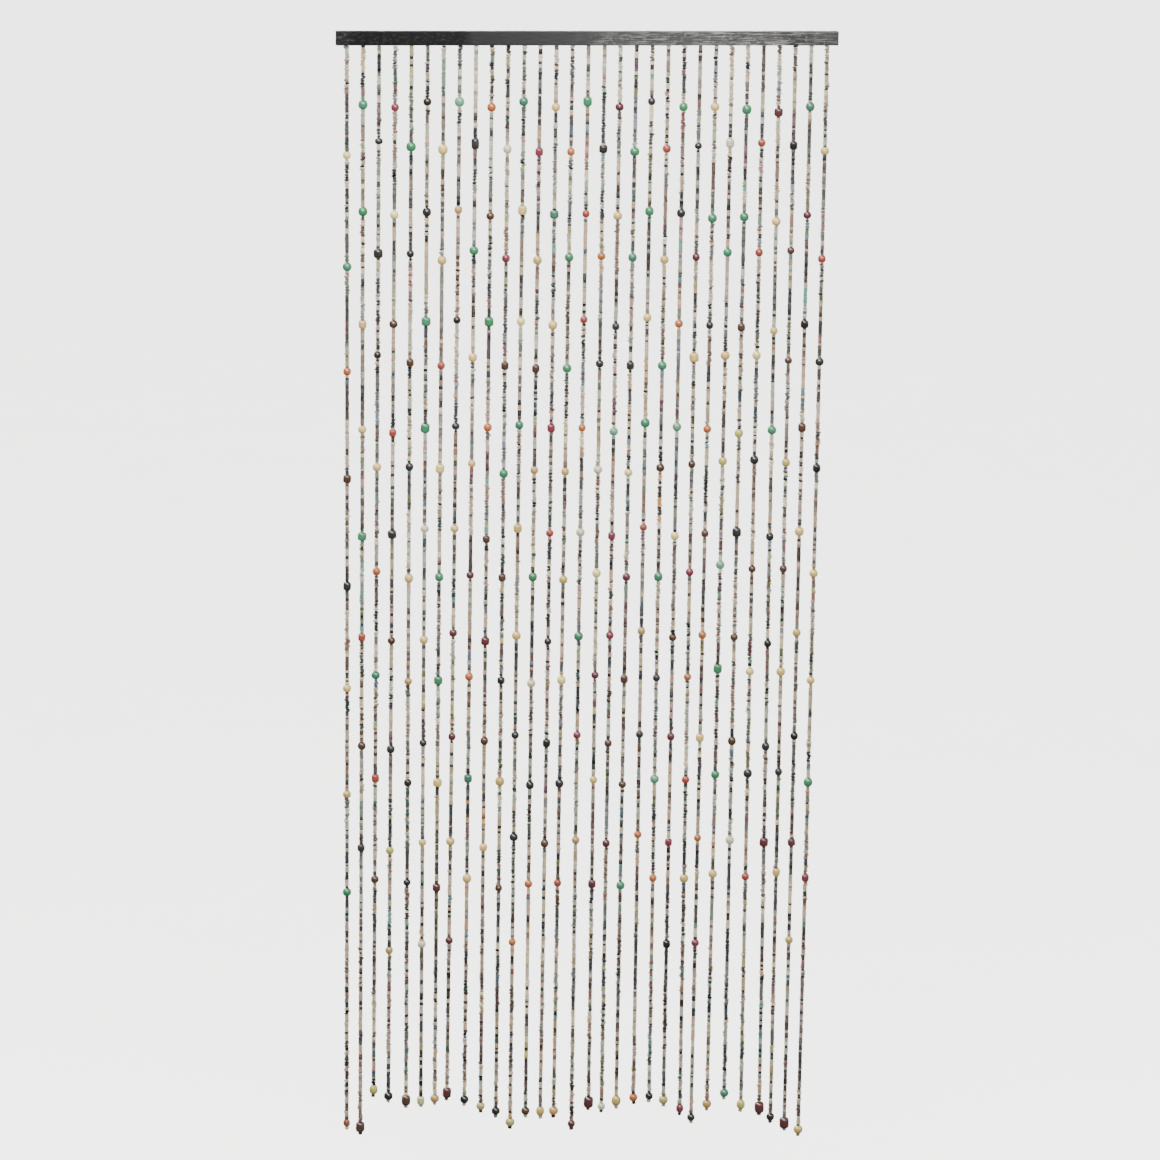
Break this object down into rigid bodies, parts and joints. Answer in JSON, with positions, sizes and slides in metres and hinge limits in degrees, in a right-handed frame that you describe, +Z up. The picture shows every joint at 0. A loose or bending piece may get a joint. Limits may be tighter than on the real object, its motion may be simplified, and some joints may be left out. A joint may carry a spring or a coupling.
{
  "type": "bead curtain on a wooden rail",
  "caption": "Door curtain of beaded strings hanging from a slim dark wooden lath, with larger round beads along the strings and a shaped end bead on each.",
  "frame": {"origin": "centre of the lath's flat back face, which is fixed to the wall over a doorway", "axes": "+Z up, +Y into the wall, the front faces -Y, and the lath runs along X"},
  "size_m": [0.9, 0.0231, 2.092],
  "materials": {
    "stained_wood": "black stain, worn to grey along the grain",
    "small_beads": "mixed muted colours, satin lacquer",
    "large_beads": "mixed colours, glossy lacquer",
    "thread": "twisted thread, matt"
  },
  "bodies": {
    "root": {"rail": "stained_wood", "strands": "small_beads"}
  },
  "joints": []
}
